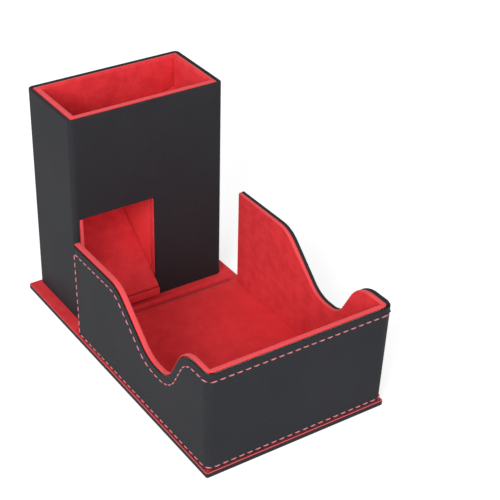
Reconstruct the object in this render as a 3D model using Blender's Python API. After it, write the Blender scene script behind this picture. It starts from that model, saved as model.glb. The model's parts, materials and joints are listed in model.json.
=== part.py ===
"""Folding dice tower of covered boards.

A lined tower stands on the rear half of a two-part base. The front half is a walled tray
that swings up on a soft hinge until its walls enclose the tower and its front wall is the lid.
Lengths are in metres. X runs along the tower's width, Y towards its back and Z up.
"""
import math

import bmesh
import bpy
from mathutils import Matrix, Vector

# Sheet materials and the play between neighbouring pieces
CLEAR = 0.0003
LEATHER_T = 0.0006
VELVET_T = 0.0008
BASE_BOARD_T = 0.0014
WALL_BOARD_T = 0.0015
SHELL_BOARD_T = 0.0010
PANEL_BOARD_T = 0.0020

# Tower
TOWER_WIDTH = 0.1000
TOWER_DEPTH = 0.0520
TOWER_HEIGHT = 0.1325
TOWER_CORNER_R = 0.0030

# Exit window, measured from the tower's left side and foot
WINDOW_JAMB = 0.0034
WINDOW_WIDTH = 0.0500
WINDOW_HEIGHT = 0.0687

# Exit ramp: its lip stands out of the window
LIP_REACH = 0.0040
LIP_HEIGHT = 0.0085
RAMP_ANGLE = math.radians(38.0)

# Upper baffle: from the right wall down to the left, past the divider
BAFFLE_DROP = 0.0190
BAFFLE_LAP = 0.0030
BAFFLE_ANGLE = math.radians(25.0)

# Soft hinge, just in front of the tower
HINGE_GAP = 0.0060
APRON = 0.0085
GROOVE_RISE = 0.0002

# Base and tray: how the closed tray clears the tower
SIDE_RUN = 0.0034
BASE_LEDGE = 0.0008
REAR_LEDGE = 0.0005
LID_GAP = 0.0080
BACK_LAP = 0.0052
WALL_SETBACK = 0.0015
TRAY_CORNER_R = 0.0030

# Scalloped rim of the side walls: corner places as shares of the wall's length from its rear
# end, the height of the dip as a share of the wall's height, and the radius at each corner
RIM_LENGTH_SHARES = (0.350, 0.578, 0.719, 0.832)
RIM_DIP_SHARE = 0.55
RIM_RADII = (0.0220, 0.0210, 0.0130, 0.0190)

# How far a cutter runs past what it cuts, and how finely arcs are stepped
OVERRUN = 0.0020
ARC_STEP = math.radians(8.0)
SMOOTH_ANGLE = math.radians(40.0)
QUARTER_TURN = math.radians(90.0)

# Thickness of each built-up wall
BASE_T = LEATHER_T + CLEAR + BASE_BOARD_T + CLEAR + VELVET_T
WALL_T = LEATHER_T + CLEAR + WALL_BOARD_T + CLEAR + VELVET_T
SHELL_T = LEATHER_T + CLEAR + SHELL_BOARD_T + CLEAR
PANEL_T = VELVET_T + CLEAR + PANEL_BOARD_T + CLEAR + VELVET_T

# Heights
BOARD_Z = LEATHER_T + CLEAR
SKIN_RIM_Z = BOARD_Z + BASE_BOARD_T
FOOT_Z = BASE_T + CLEAR
TOWER_TOP_Z = FOOT_Z + TOWER_HEIGHT
WINDOW_TOP_Z = FOOT_Z + WINDOW_HEIGHT
# A strip bent to a quarter turn moves the tray as a pivot this high would
HINGE_Z = LEATHER_T / 2 + HINGE_GAP * (2 / math.pi - 1 / 2)
RIM_Z = HINGE_Z + APRON + TOWER_DEPTH + BACK_LAP
DIP_Z = FOOT_Z + (RIM_Z - FOOT_Z) * RIM_DIP_SHARE

# Places along Y, with the whole base centred on the origin
REAR_REACH = APRON + TOWER_DEPTH + REAR_LEDGE
TRAY_REACH = TOWER_TOP_Z - HINGE_Z + LID_GAP + WALL_T + BASE_LEDGE
HINGE_Y = (TRAY_REACH - REAR_REACH) / 2
BASE_BACK_Y = HINGE_Y + REAR_REACH
BASE_END_Y = HINGE_Y + HINGE_GAP / 2
TRAY_END_Y = HINGE_Y - HINGE_GAP / 2
TRAY_FRONT_Y = HINGE_Y - TRAY_REACH
TOWER_FRONT_Y = HINGE_Y + APRON
TOWER_BACK_Y = TOWER_FRONT_Y + TOWER_DEPTH
WALL_REAR_Y = TRAY_END_Y - WALL_SETBACK
WALL_FRONT_Y = TRAY_FRONT_Y + BASE_LEDGE

# Places along X, half widths from the middle
TOWER_X = TOWER_WIDTH / 2
WALL_INNER_X = TOWER_X + SIDE_RUN
WALL_OUTER_X = WALL_INNER_X + WALL_T
BASE_X = WALL_OUTER_X + BASE_LEDGE
LINER_X = TOWER_X - SHELL_T
SHAFT_X = LINER_X - PANEL_T
WINDOW_LEFT_X = -TOWER_X + WINDOW_JAMB
WINDOW_RIGHT_X = WINDOW_LEFT_X + WINDOW_WIDTH

# Inner box along Y
LINER_FRONT_Y = TOWER_FRONT_Y + SHELL_T
LINER_BACK_Y = TOWER_BACK_Y - SHELL_T
SHAFT_FRONT_Y = LINER_FRONT_Y + PANEL_T
SHAFT_BACK_Y = LINER_BACK_Y - PANEL_T

LEATHER = ("leatherette_black", (0.018, 0.017, 0.020, 1.0), 0.55)
VELVET = ("velvet_red", (0.640, 0.025, 0.040, 1.0), 0.90)
GREYBOARD = ("greyboard", (0.300, 0.270, 0.230, 1.0), 0.85)


def clear_scene():
    """Remove every object that is there before the model is made."""
    for thing in list(bpy.data.objects):
        bpy.data.objects.remove(thing, do_unlink=True)


def new_collection(name):
    group = bpy.data.collections.new(name)
    bpy.context.scene.collection.children.link(group)
    return group


def finish_of(kind):
    """The material of one kind of sheet, made the first time it is asked for."""
    name, colour, roughness = kind
    finish = bpy.data.materials.get(name)
    if finish is None:
        finish = bpy.data.materials.new(name)
        finish.use_nodes = True
        shader = finish.node_tree.nodes["Principled BSDF"]
        shader.inputs["Base Color"].default_value = colour
        shader.inputs["Roughness"].default_value = roughness
        shader.inputs["Metallic"].default_value = 0
        finish.diffuse_color = colour
    return finish


def place(thing, parent):
    """Hang an object on its parent empty and leave it where it is."""
    thing.parent = parent
    thing.matrix_parent_inverse = Matrix.Translation(-parent.location)


def dress(thing, kind, parent):
    """Make an object a visible part of the model."""
    thing.data.materials.clear()
    thing.data.materials.append(finish_of(kind))
    thing.data.shade_smooth()
    thing.data.set_sharp_from_angle(angle=SMOOTH_ANGLE)
    place(thing, parent)
    PARTS.objects.link(thing)
    return thing


def as_cutter(thing, parent):
    """Keep an object as a guide that only cuts others."""
    thing.hide_render = True
    thing.display_type = "WIRE"
    place(thing, parent)
    CUTTERS.objects.link(thing)
    return thing


def cut(thing, cutter):
    """Take the cutter's shape away from an object."""
    step = thing.modifiers.new("cut_" + cutter.name, "BOOLEAN")
    step.operation = "DIFFERENCE"
    step.solver = "EXACT"
    step.object = cutter
    return thing


def block(name, low, high, corner_r=0, corners=()):
    """Box between two corners. Its upright edges at the named (x, y) signs are rounded."""
    low, high = Vector(low), Vector(high)
    bm = bmesh.new()
    bmesh.ops.create_cube(bm, size=1)
    bmesh.ops.scale(bm, vec=high - low, verts=bm.verts)
    rounded = []
    for edge in bm.edges:
        start, end = (corner.co for corner in edge.verts)
        upright = start.xy == end.xy
        if upright and (math.copysign(1, start.x), math.copysign(1, start.y)) in corners:
            rounded.append(edge)
    if rounded:
        steps = math.ceil(math.pi / 2 / ARC_STEP)
        bmesh.ops.bevel(bm, geom=rounded, offset=corner_r, segments=steps, affect="EDGES", profile=0.5)
    mesh = bpy.data.meshes.new(name)
    bm.to_mesh(mesh)
    bm.free()
    thing = bpy.data.objects.new(name, mesh)
    thing.location = (low + high) / 2
    return thing


def plate(name, outline, plane, near, far):
    """Flat outline in one plane, given its thickness between two levels of the third axis."""
    sheet = bpy.data.curves.new(name + "_outline", "CURVE")
    sheet.dimensions = "2D"
    sheet.fill_mode = "BOTH"
    sheet.extrude = abs(far - near) / 2
    spline = sheet.splines.new("POLY")
    spline.points.add(len(outline) - 1)
    for point, (across, along) in zip(spline.points, outline):
        point.co = (across, along, 0, 1)
    spline.use_cyclic_u = True
    level = (near + far) / 2
    turn, spot = {
        "XY": ((0, 0, 0), (0, 0, level)),
        "XZ": ((QUARTER_TURN, 0, 0), (0, level, 0)),
        "YZ": ((QUARTER_TURN, 0, QUARTER_TURN), (level, 0, 0)),
    }[plane]
    flat = bpy.data.objects.new(name + "_outline", sheet)
    flat.rotation_euler = turn
    flat.location = spot
    bpy.context.scene.collection.objects.link(flat)
    bpy.context.view_layer.update()
    ready = flat.evaluated_get(bpy.context.evaluated_depsgraph_get())
    mesh = bpy.data.meshes.new_from_object(ready)
    mesh.name = name
    bm = bmesh.new()
    bm.from_mesh(mesh)
    bmesh.ops.remove_doubles(bm, verts=bm.verts, dist=CLEAR / 10)
    bmesh.ops.recalc_face_normals(bm, faces=bm.faces)
    bm.to_mesh(mesh)
    bm.free()
    thing = bpy.data.objects.new(name, mesh)
    thing.matrix_world = flat.matrix_world
    bpy.data.objects.remove(flat, do_unlink=True)
    bpy.data.curves.remove(sheet)
    return thing


def fillet(before, corner, after, radius):
    """Points of the arc that rounds one corner of a path."""
    back = (before - corner).normalized()
    ahead = (after - corner).normalized()
    half = back.angle(ahead) / 2
    centre = corner + (back + ahead).normalized() * radius / math.sin(half)
    start = corner + back * radius / math.tan(half) - centre
    turn = math.pi - 2 * half
    if back.cross(ahead) > 0:
        turn = -turn
    steps = math.ceil(abs(turn) / ARC_STEP)
    return [centre + Matrix.Rotation(turn * step / steps, 2) @ start for step in range(steps + 1)]


def filleted(corners, radii):
    """Open path through the corners, each inner corner rounded to its radius."""
    path = [corners[0]]
    for before, corner, after, radius in zip(corners, corners[1:], corners[2:], radii):
        path += fillet(before, corner, after, radius)
    return path + [corners[-1]]


def inset_corner(before, corner, after, inset):
    """A corner moved to the left of the path, square to both of its sides, and its turn."""
    ahead_in = (corner - before).normalized()
    ahead_out = (after - corner).normalized()
    left_in = Vector((-ahead_in.y, ahead_in.x))
    left_out = Vector((-ahead_out.y, ahead_out.x))
    moved = corner + (left_in + left_out) * inset / (1 + left_in.dot(left_out))
    return moved, ahead_in.cross(ahead_out)


def inset_loop(loop, inset):
    """Closed outline, running anticlockwise, drawn in on every side."""
    loop = [Vector(corner) for corner in loop]
    return [
        inset_corner(loop[index - 1], corner, loop[(index + 1) % len(loop)], inset)[0]
        for index, corner in enumerate(loop)
    ]


def rim_path(inset, rear_y, front_y):
    """Top edge of a tray side wall from rear to front, drawn down into the wall by the inset."""
    length = WALL_REAR_Y - WALL_FRONT_Y
    dip_y = [WALL_REAR_Y - share * length for share in RIM_LENGTH_SHARES]
    heights = (RIM_Z, DIP_Z, DIP_Z, RIM_Z)
    corners = [Vector(point) for point in zip(dip_y, heights)]
    ends = [Vector((WALL_REAR_Y, RIM_Z)), Vector((WALL_FRONT_Y, RIM_Z))]
    route = [ends[0]] + corners + [ends[1]]
    drawn, radii = [], []
    for before, corner, after, radius in zip(route, corners, route[2:], RIM_RADII):
        moved, turn = inset_corner(before, corner, after, inset)
        drawn.append(moved)
        radii.append(radius - math.copysign(inset, turn))
    start = Vector((rear_y, RIM_Z - inset))
    end = Vector((front_y, RIM_Z - inset))
    return filleted([start] + drawn + [end], radii)


def side_wall_outline(inset, rear_y, front_y, foot_z):
    """Closed outline of a tray side wall in the YZ plane."""
    feet = [Vector((front_y, foot_z)), Vector((rear_y, foot_z))]
    return rim_path(inset, rear_y, front_y) + feet


def pocketed(name, outline, plane, near, far, kind, parent, pocket):
    """Covering with a pocket cut in it, into which its board goes."""
    cover = dress(plate(name, outline, plane, near, far), kind, parent)
    return cut(cover, as_cutter(pocket, parent))


def lined_panel(name, outline_at, plane, near, far, parent):
    """Upright board in a velvet cover that is open only at the foot."""
    pocket = plate(name + "_pocket", outline_at(VELVET_T, OVERRUN), plane, near + VELVET_T, far - VELVET_T)
    pocketed(name, outline_at(0, 0), plane, near, far, VELVET, parent, pocket)
    skin = VELVET_T + CLEAR
    board = plate(name + "_board", outline_at(skin, 0), plane, near + skin, far - skin)
    dress(board, GREYBOARD, parent)


def lined_slope(name, profile, plane, near, far, parent):
    """Sloping board in a velvet cover wrapped round its profile and open at both sides."""
    pocket_profile = inset_loop(profile, VELVET_T)
    pocket = plate(name + "_pocket", pocket_profile, plane, near - OVERRUN, far + OVERRUN)
    pocketed(name, profile, plane, near, far, VELVET, parent, pocket)
    board_profile = inset_loop(profile, VELVET_T + CLEAR)
    board = plate(name + "_board", board_profile, plane, near, far)
    dress(board, GREYBOARD, parent)


def upright_outline(left, right, top):
    """Outline of a rectangular panel, as a function of how far it is drawn in and lengthened below."""
    def outline_at(inset, below):
        foot = FOOT_Z - below
        head = top - inset
        return [
            (left + inset, foot), (right - inset, foot),
            (right - inset, head), (left + inset, head),
        ]
    return outline_at


def windowed_outline(left, right, top):
    """The same for a front panel, whose lower left part is the exit window."""
    def outline_at(inset, below):
        foot = FOOT_Z - below
        head = top - inset
        lintel = WINDOW_TOP_Z + inset
        jamb = WINDOW_RIGHT_X + inset
        return [
            (jamb, foot), (right - inset, foot), (right - inset, head),
            (left + inset, head), (left + inset, lintel), (jamb, lintel),
        ]
    return outline_at


def base_half(prefix, hinge_y, outer_y, lining_name, parent):
    """One half of the base: leatherette turned up round a board, and velvet on top."""
    low_y, high_y = min(hinge_y, outer_y), max(hinge_y, outer_y)
    outward = math.copysign(1, outer_y - hinge_y)
    inner_y = outer_y - outward * LEATHER_T
    skin = block(prefix + "_skin", (-BASE_X, low_y, 0), (BASE_X, high_y, SKIN_RIM_Z))
    dress(skin, LEATHER, parent)
    open_y = hinge_y - outward * OVERRUN
    hollow = block(
        prefix + "_skin_hollow",
        (-BASE_X + LEATHER_T, min(open_y, inner_y), LEATHER_T),
        (BASE_X - LEATHER_T, max(open_y, inner_y), SKIN_RIM_Z + OVERRUN),
    )
    cut(skin, as_cutter(hollow, parent))
    board_y = inner_y - outward * CLEAR
    board_x = BASE_X - LEATHER_T - CLEAR
    board = block(
        prefix + "_board",
        (-board_x, min(hinge_y, board_y), BOARD_Z),
        (board_x, max(hinge_y, board_y), SKIN_RIM_Z),
    )
    dress(board, GREYBOARD, parent)
    lining_y = outer_y - outward * CLEAR
    lining_x = BASE_X - CLEAR
    lining = block(
        lining_name,
        (-lining_x, min(hinge_y, lining_y), SKIN_RIM_Z + CLEAR),
        (lining_x, max(hinge_y, lining_y), BASE_T),
    )
    dress(lining, VELVET, parent)


def hinge_strips(parent):
    """Leatherette that bends between the two boards, and velvet pressed into the groove."""
    half = HINGE_GAP / 2 - CLEAR
    strip = block(
        "hinge_skin",
        (-BASE_X, HINGE_Y - half, 0),
        (BASE_X, HINGE_Y + half, LEATHER_T),
    )
    dress(strip, LEATHER, parent)
    floor_z = LEATHER_T + CLEAR
    radius = (half ** 2 + GROOVE_RISE ** 2) / (2 * GROOVE_RISE)
    reach = math.asin(half / radius)
    steps = math.ceil(math.pi / 2 / ARC_STEP)
    angles = [reach * (2 * step / steps - 1) for step in range(steps + 1)]
    under = [
        (HINGE_Y + radius * math.sin(angle), floor_z + radius * (1 - math.cos(angle)))
        for angle in angles
    ]
    over = [(across, height + VELVET_T) for across, height in reversed(under)]
    lining_x = BASE_X - CLEAR
    dress(plate("hinge_lining", under + over, "YZ", -lining_x, lining_x), VELVET, parent)


def tower_outer_box(parent):
    """Leatherette wrap of the tower with its four boards."""
    corners = ((-1, -1), (1, -1), (1, 1), (-1, 1))
    skin = block(
        "tower_skin",
        (-TOWER_X, TOWER_FRONT_Y, FOOT_Z),
        (TOWER_X, TOWER_BACK_Y, TOWER_TOP_Z),
        TOWER_CORNER_R,
        corners,
    )
    dress(skin, LEATHER, parent)

    cavity_x = TOWER_X - LEATHER_T
    cavity = block(
        "tower_cavity",
        (-cavity_x, TOWER_FRONT_Y + LEATHER_T, FOOT_Z - OVERRUN),
        (cavity_x, TOWER_BACK_Y - LEATHER_T, TOWER_TOP_Z - LEATHER_T),
        TOWER_CORNER_R - LEATHER_T,
        corners,
    )
    turned_edge = block(
        "window_turned_edge",
        (WINDOW_LEFT_X - LEATHER_T, TOWER_FRONT_Y - OVERRUN, FOOT_Z - OVERRUN - OVERRUN),
        (WINDOW_RIGHT_X + LEATHER_T, LINER_FRONT_Y - CLEAR, WINDOW_TOP_Z + LEATHER_T),
    )
    cut(as_cutter(cavity, parent), as_cutter(turned_edge, parent))
    cut(skin, cavity)

    mouth_x = LINER_X + CLEAR
    mouth = block(
        "tower_mouth",
        (-mouth_x, LINER_FRONT_Y - CLEAR, TOWER_TOP_Z - LEATHER_T - OVERRUN),
        (mouth_x, LINER_BACK_Y + CLEAR, TOWER_TOP_Z + OVERRUN),
    )
    cut(skin, as_cutter(mouth, parent))
    window = block(
        "exit_window",
        (WINDOW_LEFT_X, TOWER_FRONT_Y - OVERRUN, FOOT_Z - OVERRUN),
        (WINDOW_RIGHT_X, LINER_FRONT_Y, WINDOW_TOP_Z),
    )
    cut(skin, as_cutter(window, parent))

    board_in = LEATHER_T + CLEAR
    board_deep = board_in + SHELL_BOARD_T
    top = TOWER_TOP_Z - board_in
    span_x = TOWER_X - TOWER_CORNER_R
    board_jamb = WINDOW_RIGHT_X + board_in
    lintel = WINDOW_TOP_Z + board_in
    front_outline = [
        (board_jamb, FOOT_Z), (span_x, FOOT_Z), (span_x, top),
        (-span_x, top), (-span_x, lintel), (board_jamb, lintel),
    ]
    front = plate(
        "tower_board_front", front_outline, "XZ",
        TOWER_FRONT_Y + board_in, TOWER_FRONT_Y + board_deep,
    )
    dress(front, GREYBOARD, parent)
    back = block(
        "tower_board_back",
        (-span_x, TOWER_BACK_Y - board_deep, FOOT_Z),
        (span_x, TOWER_BACK_Y - board_in, top),
    )
    dress(back, GREYBOARD, parent)
    for side, name in ((-1, "tower_board_left"), (1, "tower_board_right")):
        faces = sorted((side * (TOWER_X - board_in), side * (TOWER_X - board_deep)))
        board = block(
            name,
            (faces[0], TOWER_FRONT_Y + TOWER_CORNER_R, FOOT_Z),
            (faces[1], TOWER_BACK_Y - TOWER_CORNER_R, top),
        )
        dress(board, GREYBOARD, parent)


def tower_inner_box(parent):
    """Velvet-covered panels that line the tower: their top edges are the red rim."""
    side_outline = upright_outline(LINER_FRONT_Y, LINER_BACK_Y, TOWER_TOP_Z)
    lined_panel("liner_left", side_outline, "YZ", -LINER_X, -SHAFT_X, parent)
    lined_panel("liner_right", side_outline, "YZ", SHAFT_X, LINER_X, parent)
    span_x = SHAFT_X - CLEAR
    front_outline = windowed_outline(-span_x, span_x, TOWER_TOP_Z)
    lined_panel("liner_front", front_outline, "XZ", LINER_FRONT_Y, SHAFT_FRONT_Y, parent)
    back_outline = upright_outline(-span_x, span_x, TOWER_TOP_Z)
    lined_panel("liner_back", back_outline, "XZ", SHAFT_BACK_Y, LINER_BACK_Y, parent)


def dice_path(parent):
    """Upper baffle, divider and exit ramp inside the tower."""
    near_y = SHAFT_FRONT_Y + CLEAR
    far_y = SHAFT_BACK_Y - CLEAR
    rise = math.tan(BAFFLE_ANGLE)
    upright_t = PANEL_T / math.cos(BAFFLE_ANGLE)
    high_x = SHAFT_X - CLEAR
    low_x = WINDOW_RIGHT_X - BAFFLE_LAP
    high_z = TOWER_TOP_Z - BAFFLE_DROP
    low_z = high_z - (high_x - low_x) * rise
    baffle_profile = [
        (low_x, low_z - upright_t), (high_x, high_z - upright_t),
        (high_x, high_z), (low_x, low_z),
    ]
    lined_slope("upper_baffle", baffle_profile, "XZ", near_y, far_y, parent)

    divider_top = low_z - upright_t + BAFFLE_LAP * rise - CLEAR
    divider_outline = upright_outline(near_y, far_y, divider_top)
    lined_panel("divider", divider_outline, "YZ", WINDOW_RIGHT_X, WINDOW_RIGHT_X + PANEL_T, parent)

    slope = math.tan(RAMP_ANGLE)
    ramp_t = PANEL_T / math.cos(RAMP_ANGLE)
    lip_y = TOWER_FRONT_Y - LIP_REACH
    lip_z = BASE_T + LIP_HEIGHT
    head_z = lip_z + (far_y - lip_y) * slope
    ramp_profile = [
        (lip_y, lip_z - ramp_t), (far_y, head_z - ramp_t),
        (far_y, head_z), (lip_y, lip_z),
    ]
    left_x = -SHAFT_X + CLEAR
    right_x = WINDOW_RIGHT_X - CLEAR
    lined_slope("exit_ramp", ramp_profile, "YZ", left_x, right_x, parent)


def tray_wrap(parent):
    """One leatherette wrap round the left, front and right walls, cut to the scalloped rim."""
    def u_path(inset):
        side_x = WALL_OUTER_X - inset
        front_y = WALL_FRONT_Y + inset
        corners = [(-side_x, WALL_REAR_Y), (-side_x, front_y), (side_x, front_y), (side_x, WALL_REAR_Y)]
        radius = TRAY_CORNER_R - inset
        return filleted([Vector(corner) for corner in corners], (radius, radius))

    outline = u_path(0) + list(reversed(u_path(LEATHER_T)))
    wrap = plate("tray_wall_skin", outline, "XY", FOOT_Z, RIM_Z + OVERRUN)
    dress(wrap, LEATHER, parent)
    rear_y = WALL_REAR_Y + OVERRUN
    front_y = WALL_FRONT_Y - OVERRUN
    above_z = RIM_Z + OVERRUN + OVERRUN
    above = [Vector((front_y, above_z)), Vector((rear_y, above_z))]
    cutter_x = WALL_OUTER_X + OVERRUN
    cutter = plate("rim_cutter", rim_path(0, rear_y, front_y) + above, "YZ", -cutter_x, cutter_x)
    cut(wrap, as_cutter(cutter, parent))


def side_walls(parent):
    """Boards of the side walls and the velvet turned over their edges."""
    velvet_x = WALL_OUTER_X - LEATHER_T - CLEAR
    velvet_y = WALL_FRONT_Y + LEATHER_T + CLEAR
    board_x = WALL_INNER_X + VELVET_T + CLEAR
    edge = VELVET_T + CLEAR
    corner_r = TRAY_CORNER_R - LEATHER_T - CLEAR
    for side, word in ((-1, "left"), (1, "right")):
        cover = block(
            "wall_lining_" + word,
            (min(side * WALL_INNER_X, side * velvet_x), velvet_y, FOOT_Z),
            (max(side * WALL_INNER_X, side * velvet_x), WALL_REAR_Y, RIM_Z + OVERRUN),
            corner_r,
            ((side, -1),),
        )
        dress(cover, VELVET, parent)
        cut(cover, bpy.data.objects["rim_cutter"])
        pocket_outline = side_wall_outline(
            VELVET_T, WALL_REAR_Y - VELVET_T, velvet_y + VELVET_T, FOOT_Z - OVERRUN,
        )
        pocket = plate(
            "wall_pocket_" + word, pocket_outline, "YZ",
            side * (WALL_INNER_X + VELVET_T), side * (velvet_x + OVERRUN),
        )
        cut(cover, as_cutter(pocket, parent))
        board_outline = side_wall_outline(edge, WALL_REAR_Y - edge, velvet_y + edge, FOOT_Z)
        board = plate("wall_board_" + word, board_outline, "YZ", side * board_x, side * velvet_x)
        dress(board, GREYBOARD, parent)


def front_wall(parent):
    """Board of the front wall and its velvet, which fit between the side walls."""
    span_x = WALL_INNER_X - CLEAR
    outer_y = WALL_FRONT_Y + LEATHER_T + CLEAR
    inner_y = WALL_FRONT_Y + WALL_T
    cover = block("wall_lining_front", (-span_x, outer_y, FOOT_Z), (span_x, inner_y, RIM_Z))
    dress(cover, VELVET, parent)
    pocket_x = span_x - VELVET_T
    pocket = block(
        "wall_pocket_front",
        (-pocket_x, outer_y - OVERRUN, FOOT_Z - OVERRUN),
        (pocket_x, inner_y - VELVET_T, RIM_Z - VELVET_T),
    )
    cut(cover, as_cutter(pocket, parent))
    board_x = pocket_x - CLEAR
    board = block(
        "wall_board_front",
        (-board_x, outer_y, FOOT_Z),
        (board_x, inner_y - VELVET_T - CLEAR, RIM_Z - VELVET_T - CLEAR),
    )
    dress(board, GREYBOARD, parent)


def new_empty(name, spot):
    """Empty that carries the pieces of one half."""
    mark = bpy.data.objects.new(name, None)
    mark.location = spot
    PARTS.objects.link(mark)
    return mark


def build():
    stand = new_empty("base_frame", (0, 0, 0))
    pivot = new_empty("tray_pivot", (0, HINGE_Y, HINGE_Z))
    pivot.parent = stand
    base_half("base", BASE_END_Y, BASE_BACK_Y, "base_lining", stand)
    hinge_strips(stand)
    tower_outer_box(stand)
    tower_inner_box(stand)
    dice_path(stand)
    base_half("tray_base", TRAY_END_Y, TRAY_FRONT_Y, "tray_floor_lining", pivot)
    tray_wrap(pivot)
    side_walls(pivot)
    front_wall(pivot)
    bpy.context.view_layer.update()


clear_scene()
PARTS = new_collection("folding_dice_tower")
CUTTERS = new_collection("cutters")
build()
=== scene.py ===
"""Looks of the folding dice tower: its covers, linings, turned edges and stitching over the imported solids."""
import json
import math

import bmesh
import bpy
from mathutils import Matrix, Vector


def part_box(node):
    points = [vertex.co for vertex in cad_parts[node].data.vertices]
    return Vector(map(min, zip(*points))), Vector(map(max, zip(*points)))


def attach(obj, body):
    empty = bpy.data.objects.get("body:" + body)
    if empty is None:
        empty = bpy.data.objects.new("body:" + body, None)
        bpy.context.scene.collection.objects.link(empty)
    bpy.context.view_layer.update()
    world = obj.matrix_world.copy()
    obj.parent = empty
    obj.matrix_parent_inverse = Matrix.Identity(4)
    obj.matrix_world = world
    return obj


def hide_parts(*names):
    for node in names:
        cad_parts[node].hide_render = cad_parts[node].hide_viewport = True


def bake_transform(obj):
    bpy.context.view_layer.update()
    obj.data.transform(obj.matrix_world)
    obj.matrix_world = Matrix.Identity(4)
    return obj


X, Y, Z = range(3)

# Sheets and turned edges
LEATHER_T = 0.0006
VELVET_T = 0.0008
WALL_VELVET_T = 0.0006
TURN_R = 0.0007
WINDOW_TURN_R = 0.00035
BASE_CORNER_R = 0.0012
BASE_FOOT_R = 0.0007
VELVET_EDGE_R = 0.00035

# Rounded folds of the lined panels
LINER_FOLD_R = 0.0015
SLOPE_FOLD_R = 0.0011
WINDOW_FOLD_R = 0.0010
FOLD_STEPS = 5
EDGE_STEPS = 4
FINE_STEPS = 3

# Tower wrap
TOWER_CORNER_R = 0.0030
CORNER_STEPS = 8
MOUTH_TURN = 0.0019
MOUTH_DEPTH = 0.0040
WINDOW_TURN = 0.0019
WINDOW_HEIGHT = 0.0687
WINDOW_INSET = 0.0034

# Soft hinge between the two halves of the base
HINGE_ROW = 0.0005
HINGE_ROWS = 9
GROOVE_FLAT = 0.0004
GROOVE_REACH = 0.0040
GROOVE_DEPTH = 0.0009
# Share of painted shade at the groove's full depth
GROOVE_SHADE = 0.5

# Bands along the sides of the base in which the groove runs out: distance from the side, share of its depth
GROOVE_FADE = ((0.0075, 1.0), (0.0050, 0.6), (0.0028, 0.2), (0.0012, 0.0))

# Nose of the ramp in side view, from the upper corner of its end: along, up, radius
NOSE_OUTLINE = (
    (0.00130, 0.00115, 0.00050),
    (0.00050, -0.00065, 0.00015),
    (-0.00035, 0.00005, 0.00045),
    (-0.00065, -0.00240, 0.00300),
    (-0.00030, -0.00600, 0.00110),
    (0.00140, -0.00580, 0.00080),
)
NOSE_END_R = 0.0004
# Reach of the painted shade round the pressed line of the nose, and share of painted highlight on the ramp's right
# end
NOSE_CREASE = 0.0006
NOSE_END_HIGHLIGHT = 0.7

# Velvet of the left window jamb, which swells forward to the leather's face and sideways in its lower half
JAMB_GAP = 0.0003
JAMB_SWELL = 0.0017
JAMB_LEVELS = ((0.0200, 0.0), (0.0350, 0.0008))

# Painted highlight on the crown of the tower's lining: full up to one distance from its outer face, none from the
# other
CROWN_NEAR = (0.0024, 0.0042)
CROWN_FAR = (0.0010, 0.0032)

# Edge of the base: where the leather ends and how far the velvet is turned down over it
COVER_RIM_Z = 0.0027
VELVET_RIM_Z = 0.0028
VELVET_TURN = 0.0006
VELVET_HEM = 0.0005

# Way of the mitres of the shaft's lining: along for each step across
MITRE_SLOPE = 0.9

# Painted shade line where two lined walls meet: its width in the tray and in the shaft
CREASE_WIDTH = 0.0005
SHAFT_CREASE = 0.0009

# Tray rim in side view, shared with the solids
RIM_LENGTH_SHARES = (0.350, 0.578, 0.719, 0.832)
RIM_DIP_SHARE = 0.55
RIM_RADII = (0.0220, 0.0210, 0.0130, 0.0190)
ARC_STEP = math.radians(6.0)
OVERRUN = 0.0020
TRAY_CORNER_R = 0.0042
RIM_DROP = 0.0008
CROWN_RISE = 0.0004
CROWN_R = 0.0008

# Leather edge turned over the right wall, between its wrap and its velvet
EDGING_T = 0.0012
EDGING_REACH = 0.0027
EDGING_DEPTH = 0.0022
EDGING_RISE = 0.0003
EDGING_R = 0.00015
EDGING_GAP = 0.0001
SLIP = 0.00005

# How far the covers of the tray walls lean out at their rim
LEAN_LEFT = (0.0009, 0.0003)
LEAN_RIGHT = (0.0012, 0.0030)
LEAN_FRONT = 0.0005

# Hem and stitch lines of the tray wrap
HEM_ROLL = 0.0002
HEM_STEPS = ((0.0003, 0.00014), (0.0006, 0.00006), (0.0003, 0), (0.0028, 0), (0.0002, 0))
SEAM_HALF = 0.00010
SEAM_SLOPE = 0.00028
SEAM_EDGE = 0.00050
SEAM_DEPTH = 0.00022
RIM_SEAM = 0.0046
FOOT_SEAM = 0.0019
REAR_SEAM = 0.0014
EXCESS = 0.0150

# Thread
STITCH_PITCH = 0.00507
STITCH_LENGTH = 0.0042
THREAD_R = 0.00039
STITCH_SIDES = 8
# Share of the stitch's length each side of its middle that has no painted shade
STITCH_BARE = 0.2

# Arch of a stitch from its ends inwards: share of its length, share of its thickness, drop in thread radii
STITCH_ARCH = ((0.5, 0.5, 1.6), (0.38, 0.85, 0.35), (0.2, 1.0, 0.0))

# Share of painted light on the pile: the divider's, and the base's at its right
DIVIDER_PAINTED_LIGHT = 0.7
FLOOR_PAINTED_LIGHT = 0.45

# Painted highlight on the base's turned edge: greyer at the tray, less so at the rear
TRAY_EDGE_HIGHLIGHT = 2.0
REAR_EDGE_HIGHLIGHT = 1.4

# Twill of the leatherette: ribs and the steps across them, in radians for each metre
RIB_DENSITY = 4040.0
STEP_DENSITY = 2300.0
STEP_SHARE = 0.35
EMBOSS_SPAN = 1.2

# Grain of the finishes: scale, detail, roughness
LEATHER_PORES = (3200.0, 3.0, 0.6)
LEATHER_CLOUDS = (28.0, 3.0, 0.5)
PILE_CLOUDS = (130.0, 5.0, 0.6)
PILE_GRAIN = (1900.0, 3.0, 0.65)
BOARD_GRAIN = (900.0, 4.0, 0.7)
THREAD_GRAIN = (2600.0, 2.0, 0.5)

# Span of the grain over which one tone turns into the other
LEATHER_SPAN = (0.3, 0.7)
PILE_SPAN = (0.32, 0.68)
SPECK_SPAN = (0.25, 0.6)
FLECK_SPAN = (0.35, 0.65)

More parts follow.
